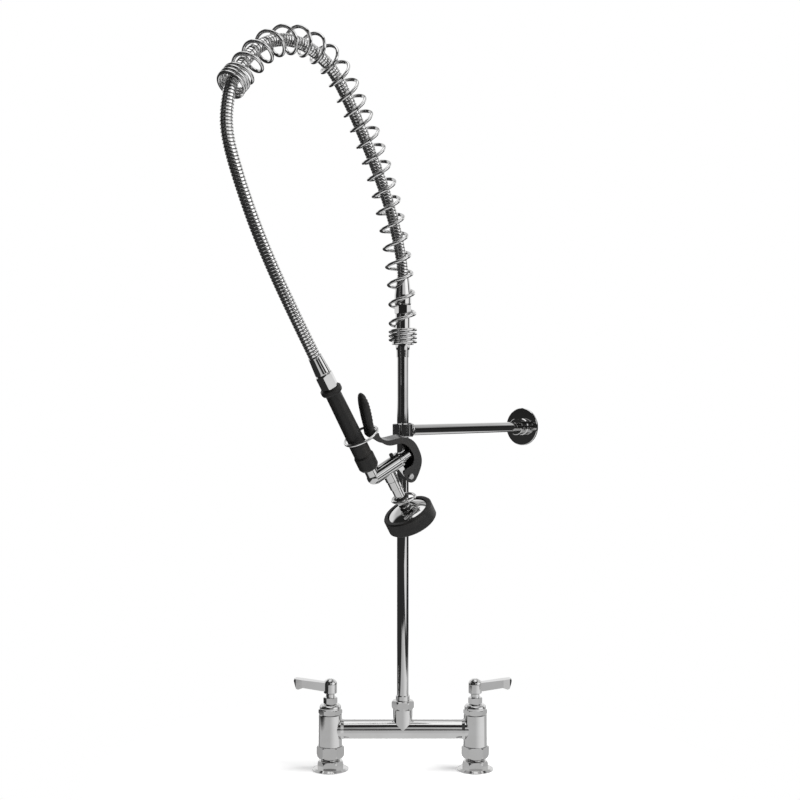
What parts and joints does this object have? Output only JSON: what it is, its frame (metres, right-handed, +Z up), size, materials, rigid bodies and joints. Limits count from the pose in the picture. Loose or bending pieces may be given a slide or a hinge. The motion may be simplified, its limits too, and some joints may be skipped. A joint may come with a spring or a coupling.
{
  "type": "pre rinse faucet",
  "caption": "Deck mounted pre rinse faucet: lever valves on a crossbar, tall riser, sprung overhead hose and a squeeze spray valve with a rubber ringed head.",
  "frame": {"origin": "midway between the two deck inlets, on the plane of the deck", "axes": "+Z up along the riser, +X along the crossbar towards the right hand valve, +Y back towards the wall"},
  "size_m": [0.4414, 0.4864, 0.9994],
  "materials": {
    "chrome": "mirror polished plate",
    "spring_steel": "polished spring wire",
    "hose_steel": "interlocked metal hose, satin",
    "black_grip": "moulded, fine grain",
    "black_lever": "black powder coat",
    "rubber": "black rubber",
    "ceramic": "ceramic discs",
    "steel": "small steel fasteners",
    "face_plate": "perforated spray plate"
  },
  "bodies": {
    "faucet": {"bridge_body": "chrome", "union_washers": "rubber", "seat_seals": "rubber", "fixed_discs": "ceramic", "left_inlet_flange": "chrome", "left_coupling_nut": "chrome", "left_bonnet": "chrome", "left_packing_nut": "chrome", "right_inlet_flange": "chrome", "right_coupling_nut": "chrome", "right_bonnet": "chrome", "right_packing_nut": "chrome", "riser_union_nut": "chrome", "riser_collar": "chrome", "riser_o_ring": "rubber", "riser_pipe": "chrome", "riser_adapter": "chrome", "upper_washer": "rubber", "upper_hose_nut": "chrome", "upper_ferrule": "chrome", "spring": "spring_steel", "hose_upper": "hose_steel"},
    "wall_bracket": {"bracket_clamp": "chrome", "bracket_set_screws": "steel", "bracket_bar": "chrome", "wall_flange": "chrome"},
    "spray_valve": {"hose_lower": "hose_steel", "lower_ferrule": "chrome", "lower_hose_nut": "chrome", "handle_tube": "chrome", "handle_grip": "black_grip", "lower_sleeve": "black_grip", "grip_collar": "black_grip", "valve_body": "chrome", "barrel_stud": "black_grip", "valve_bonnet": "chrome", "valve_seat": "steel", "plunger_spring": "steel", "pivot_screw": "steel", "outlet_washers": "rubber", "outlet_nut": "chrome", "spray_dish": "chrome", "spray_face": "face_plate", "bumper": "rubber"},
    "trigger": {"trigger_lever": "black_lever", "trigger_grip": "black_grip"},
    "push_rod": {"plunger": "steel", "seat_disc": "rubber"},
    "hold_open_ring": {"hold_ring": "steel"},
    "hook_ring": {"hang_ring": "steel"},
    "left_handle": {"left_lever": "chrome", "left_lever_screw": "steel", "left_index_cap": "chrome", "left_spindle": "chrome", "left_moving_disc": "ceramic"},
    "right_handle": {"right_lever": "chrome", "right_lever_screw": "steel", "right_index_cap": "chrome", "right_spindle": "chrome", "right_moving_disc": "ceramic"}
  },
  "joints": [
    {"name": "left_lever_turn", "type": "hinge", "parent": "faucet", "child": "left_handle", "pos_m": [-0.1016, 0, 0.1], "axis": [0, 0, 1], "range_deg": [0, 90]},
    {"name": "right_lever_turn", "type": "hinge", "parent": "faucet", "child": "right_handle", "pos_m": [0.1016, 0, 0.1], "axis": [0, 0, 1], "range_deg": [-90, 0]},
    {"name": "bracket_swing", "type": "hinge", "parent": "faucet", "child": "wall_bracket", "pos_m": [0, 0, 0.4755], "axis": [0, 0, 1], "range_deg": [-45, 85]},
    {"name": "hose_sway", "type": "hinge", "parent": "faucet", "child": "spray_valve", "pos_m": [-0.21209, -0.22744, 0.88944], "axis": [-0.641, 0.7675, 0], "range_deg": [0, 45], "stiffness_Nm_per_rad": 2, "springref_deg": -91.67, "deforming": ["hose_lower"]},
    {"name": "trigger_squeeze", "type": "hinge", "parent": "spray_valve", "child": "trigger", "pos_m": [0.00574, -0.06401, 0.41678], "axis": [0.4752, -0.8667, -0.1517], "range_deg": [0, 5.5], "stiffness_Nm_per_rad": 3, "springref_deg": -8.59},
    {"name": "push_rod_slide", "type": "slide", "parent": "spray_valve", "child": "push_rod", "axis": [-0.7859, -0.3406, -0.516], "range_m": [0, 0.0025], "deforming": ["plunger_spring"]},
    {"name": "hold_ring_slide", "type": "slide", "parent": "spray_valve", "child": "hold_open_ring", "axis": [0.3956, 0.3644, -0.843], "range_m": [0, 0.003]},
    {"name": "hook_ring_spin", "type": "hinge", "parent": "spray_valve", "child": "hook_ring", "pos_m": [-0.00154, -0.06212, 0.38321], "axis": [-0.3956, -0.3644, 0.843], "continuous": true}
  ],
  "couplings": [
    {"joint": "push_rod_slide", "follows": "trigger_squeeze", "m_per_rad": 0.0248}
  ]
}
